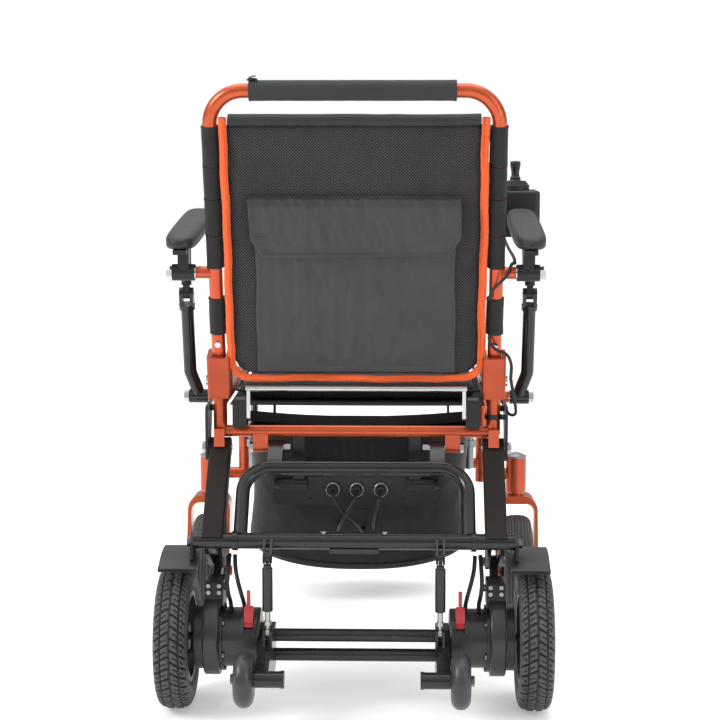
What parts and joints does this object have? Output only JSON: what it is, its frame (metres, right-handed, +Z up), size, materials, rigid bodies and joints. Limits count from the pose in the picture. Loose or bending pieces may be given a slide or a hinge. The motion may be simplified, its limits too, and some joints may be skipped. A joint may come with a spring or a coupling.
{
  "type": "power wheelchair",
  "caption": "Folding power wheelchair with a tube frame, mesh back, rear hub motors on a sprung axle unit, front casters, anti-tip wheels, linked armrests and a joystick.",
  "frame": {"origin": "on the floor, at the centre of the bounding box seen from above", "axes": "+Z up; +Y forward, the way the rider faces; +X to the rider's right"},
  "size_m": [0.618, 0.962, 0.9319],
  "materials": {
    "orange_frame": "satin anodised orange",
    "orange_block": "machined, anodised orange",
    "orange_fork": "satin anodised orange",
    "black_bracket": "satin black paint",
    "bolt_chrome": "polished",
    "strut_grey": "satin",
    "sling_fabric": "woven",
    "cushion_fabric": "woven",
    "bag_fabric": "woven, coated",
    "battery_case": "fine texture",
    "controller_plastic": "semi gloss",
    "lead_rubber": "smooth",
    "black_frame": "gloss black paint",
    "guard_plastic": "semi gloss",
    "gearbox_black": "satin black paint",
    "motor_black": "satin black paint",
    "damper_black": "gloss black",
    "damper_steel": "bright",
    "tyre_black": "moulded tread",
    "rim_grey": "satin grey paint",
    "lever_red": "glossy",
    "tip_rubber": "smooth",
    "grip_fabric": "neoprene",
    "sleeve_fabric": "woven",
    "mesh_fabric": "air mesh with orange piping",
    "pocket_fabric": "coated, smooth",
    "pad_foam": "moulded, fine grain",
    "control_plastic": "fine texture",
    "stick_rubber": "soft touch",
    "button_green": "glossy",
    "footplate_black": "textured black paint",
    "bar_chrome": "polished"
  },
  "bodies": {
    "chair_frame": {"main_frame": "orange_frame", "back_hinge_blocks": "orange_block", "rear_brackets": "black_bracket", "frame_bolts": "bolt_chrome", "seat_struts": "strut_grey", "seat_sling": "sling_fabric", "seat_cushion": "cushion_fabric", "storage_bag": "bag_fabric", "battery_pack": "battery_case", "controller_box": "controller_plastic", "frame_leads": "lead_rubber"},
    "rear_frame": {"rear_legs": "black_frame", "rear_crosstube": "black_frame", "u_tube": "black_frame", "mudguards": "guard_plastic", "rear_frame_bolts": "bolt_chrome"},
    "axle_unit": {"gearboxes": "gearbox_black", "motors": "motor_black", "antitip_frame": "black_frame", "gearbox_clamps": "black_bracket", "motor_leads": "lead_rubber", "axle_bolts": "bolt_chrome"},
    "backrest": {"back_frame": "orange_frame", "handle_grip": "grip_fabric", "back_sleeves": "sleeve_fabric", "back_cushion": "mesh_fabric", "back_pocket": "pocket_fabric", "back_bolts": "bolt_chrome", "joystick_lead_back": "lead_rubber"},
    "armrest_left": {"arm_pad_left": "pad_foam", "arm_bracket_left": "black_bracket"},
    "armrest_right": {"arm_pad_right": "pad_foam", "arm_bracket_right": "black_bracket", "control_box": "control_plastic", "joystick_lead_arm": "lead_rubber"},
    "arm_post_left": {"arm_post_left": "black_frame"},
    "arm_post_right": {"arm_post_right": "black_frame"},
    "joystick_gimbal": {"joystick_gimbal": "damper_steel"},
    "joystick": {"joystick_stick": "stick_rubber"},
    "power_button": {"power_button": "button_green"},
    "release_bar": {"release_bar": "bar_chrome"},
    "footplate": {"footplate": "footplate_black"},
    "damper_cylinder_left": {"damper_cylinder_left": "damper_black"},
    "damper_rod_left": {"damper_rod_left": "damper_steel"},
    "drive_wheel_left": {"drive_tyre_left": "tyre_black", "drive_rim_left": "rim_grey"},
    "brake_lever_left": {"brake_lever_left": "lever_red"},
    "antitip_wheel_left": {"antitip_wheel_left": "tip_rubber"},
    "caster_fork_left": {"caster_fork_left": "orange_fork"},
    "caster_wheel_left": {"caster_tyre_left": "tyre_black", "caster_rim_left": "rim_grey"},
    "damper_cylinder_right": {"damper_cylinder_right": "damper_black"},
    "damper_rod_right": {"damper_rod_right": "damper_steel"},
    "drive_wheel_right": {"drive_tyre_right": "tyre_black", "drive_rim_right": "rim_grey"},
    "brake_lever_right": {"brake_lever_right": "lever_red"},
    "antitip_wheel_right": {"antitip_wheel_right": "tip_rubber"},
    "caster_fork_right": {"caster_fork_right": "orange_fork"},
    "caster_wheel_right": {"caster_tyre_right": "tyre_black", "caster_rim_right": "rim_grey"}
  },
  "joints": [
    {"name": "back_fold", "type": "hinge", "parent": "chair_frame", "child": "backrest", "pos_m": [0, -0.216, 0.484], "axis": [-1, 0, 0], "range_deg": [0, 88]},
    {"name": "armrest_pivot_left", "type": "hinge", "parent": "backrest", "child": "armrest_left", "pos_m": [-0.255, -0.26418, 0.65203], "axis": [1, 0, 0], "range_deg": [0, 88]},
    {"name": "arm_post_pivot_left", "type": "hinge", "parent": "chair_frame", "child": "arm_post_left", "pos_m": [-0.254, -0.1, 0.443], "axis": [-1, 0, 0], "range_deg": [0, 88]},
    {"name": "armrest_pivot_right", "type": "hinge", "parent": "backrest", "child": "armrest_right", "pos_m": [0.255, -0.26418, 0.65203], "axis": [1, 0, 0], "range_deg": [0, 88]},
    {"name": "arm_post_pivot_right", "type": "hinge", "parent": "chair_frame", "child": "arm_post_right", "pos_m": [0.254, -0.1, 0.443], "axis": [-1, 0, 0], "range_deg": [0, 88]},
    {"name": "rear_frame_fold", "type": "hinge", "parent": "chair_frame", "child": "rear_frame", "pos_m": [0, -0.215, 0.381], "axis": [1, 0, 0], "range_deg": [0, 40]},
    {"name": "suspension", "type": "hinge", "parent": "rear_frame", "child": "axle_unit", "pos_m": [0, -0.25, 0.212], "axis": [1, 0, 0], "range_deg": [-4.5, 0], "stiffness_Nm_per_rad": 400, "springref_deg": 2.29},
    {"name": "damper_swing_left", "type": "hinge", "parent": "rear_frame", "child": "damper_cylinder_left", "pos_m": [-0.126, -0.365, 0.243], "axis": [1, 0, 0], "range_deg": [-3.6, 0]},
    {"name": "damper_stroke_left", "type": "slide", "parent": "damper_cylinder_left", "child": "damper_rod_left", "axis": [0, 0, 1], "range_m": [0, 0.0095]},
    {"name": "drive_wheel_spin_left", "type": "hinge", "parent": "axle_unit", "child": "drive_wheel_left", "pos_m": [-0.267, -0.3, 0.1075], "axis": [1, 0, 0], "continuous": true},
    {"name": "brake_lever_turn_left", "type": "hinge", "parent": "axle_unit", "child": "brake_lever_left", "pos_m": [-0.156, -0.34, 0.138], "axis": [1, 0, 0], "range_deg": [0, 35]},
    {"name": "antitip_wheel_spin_left", "type": "hinge", "parent": "axle_unit", "child": "antitip_wheel_left", "pos_m": [-0.1545, -0.44, 0.084], "axis": [1, 0, 0], "continuous": true},
    {"name": "caster_swivel_left", "type": "hinge", "parent": "chair_frame", "child": "caster_fork_left", "pos_m": [-0.268, 0.18, 0.266], "axis": [0, 0, 1], "continuous": true},
    {"name": "caster_wheel_spin_left", "type": "hinge", "parent": "caster_fork_left", "child": "caster_wheel_left", "pos_m": [-0.268, 0.14, 0.1], "axis": [1, 0, 0], "continuous": true},
    {"name": "damper_swing_right", "type": "hinge", "parent": "rear_frame", "child": "damper_cylinder_right", "pos_m": [0.126, -0.365, 0.243], "axis": [1, 0, 0], "range_deg": [-3.6, 0]},
    {"name": "damper_stroke_right", "type": "slide", "parent": "damper_cylinder_right", "child": "damper_rod_right", "axis": [0, 0, 1], "range_m": [0, 0.0095]},
    {"name": "drive_wheel_spin_right", "type": "hinge", "parent": "axle_unit", "child": "drive_wheel_right", "pos_m": [0.267, -0.3, 0.1075], "axis": [1, 0, 0], "continuous": true},
    {"name": "brake_lever_turn_right", "type": "hinge", "parent": "axle_unit", "child": "brake_lever_right", "pos_m": [0.156, -0.34, 0.138], "axis": [1, 0, 0], "range_deg": [0, 35]},
    {"name": "antitip_wheel_spin_right", "type": "hinge", "parent": "axle_unit", "child": "antitip_wheel_right", "pos_m": [0.1545, -0.44, 0.084], "axis": [1, 0, 0], "continuous": true},
    {"name": "caster_swivel_right", "type": "hinge", "parent": "chair_frame", "child": "caster_fork_right", "pos_m": [0.268, 0.18, 0.266], "axis": [0, 0, 1], "continuous": true},
    {"name": "caster_wheel_spin_right", "type": "hinge", "parent": "caster_fork_right", "child": "caster_wheel_right", "pos_m": [0.268, 0.14, 0.1], "axis": [1, 0, 0], "continuous": true},
    {"name": "release_bar_lift", "type": "hinge", "parent": "chair_frame", "child": "release_bar", "pos_m": [0, -0.238, 0.432], "axis": [1, 0, 0], "range_deg": [0, 20], "stiffness_Nm_per_rad": 0.6, "springref_deg": -14.32},
    {"name": "footplate_flip", "type": "hinge", "parent": "chair_frame", "child": "footplate", "pos_m": [0, 0.34, 0.088], "axis": [1, 0, 0], "range_deg": [0, 88]},
    {"name": "joystick_forward_back", "type": "hinge", "parent": "armrest_right", "child": "joystick_gimbal", "pos_m": [0.253, 0.04, 0.768], "axis": [1, 0, 0], "range_deg": [-18, 18], "stiffness_Nm_per_rad": 0.3},
    {"name": "joystick_side", "type": "hinge", "parent": "joystick_gimbal", "child": "joystick", "pos_m": [0.253, 0.04, 0.768], "axis": [0, 1, 0], "range_deg": [-18, 18], "stiffness_Nm_per_rad": 0.3},
    {"name": "power_press", "type": "slide", "parent": "armrest_right", "child": "power_button", "axis": [0, 0, -1], "range_m": [0, 0.0018], "stiffness_N_per_m": 200}
  ],
  "couplings": [
    {"joint": "armrest_pivot_left", "follows": "back_fold", "ratio": 1},
    {"joint": "arm_post_pivot_left", "follows": "back_fold", "ratio": 1},
    {"joint": "armrest_pivot_right", "follows": "back_fold", "ratio": 1},
    {"joint": "arm_post_pivot_right", "follows": "back_fold", "ratio": 1},
    {"joint": "damper_swing_left", "follows": "suspension", "ratio": 0.733},
    {"joint": "damper_stroke_left", "follows": "suspension", "m_per_rad": -0.1155},
    {"joint": "damper_swing_right", "follows": "suspension", "ratio": 0.733},
    {"joint": "damper_stroke_right", "follows": "suspension", "m_per_rad": -0.1155}
  ]
}
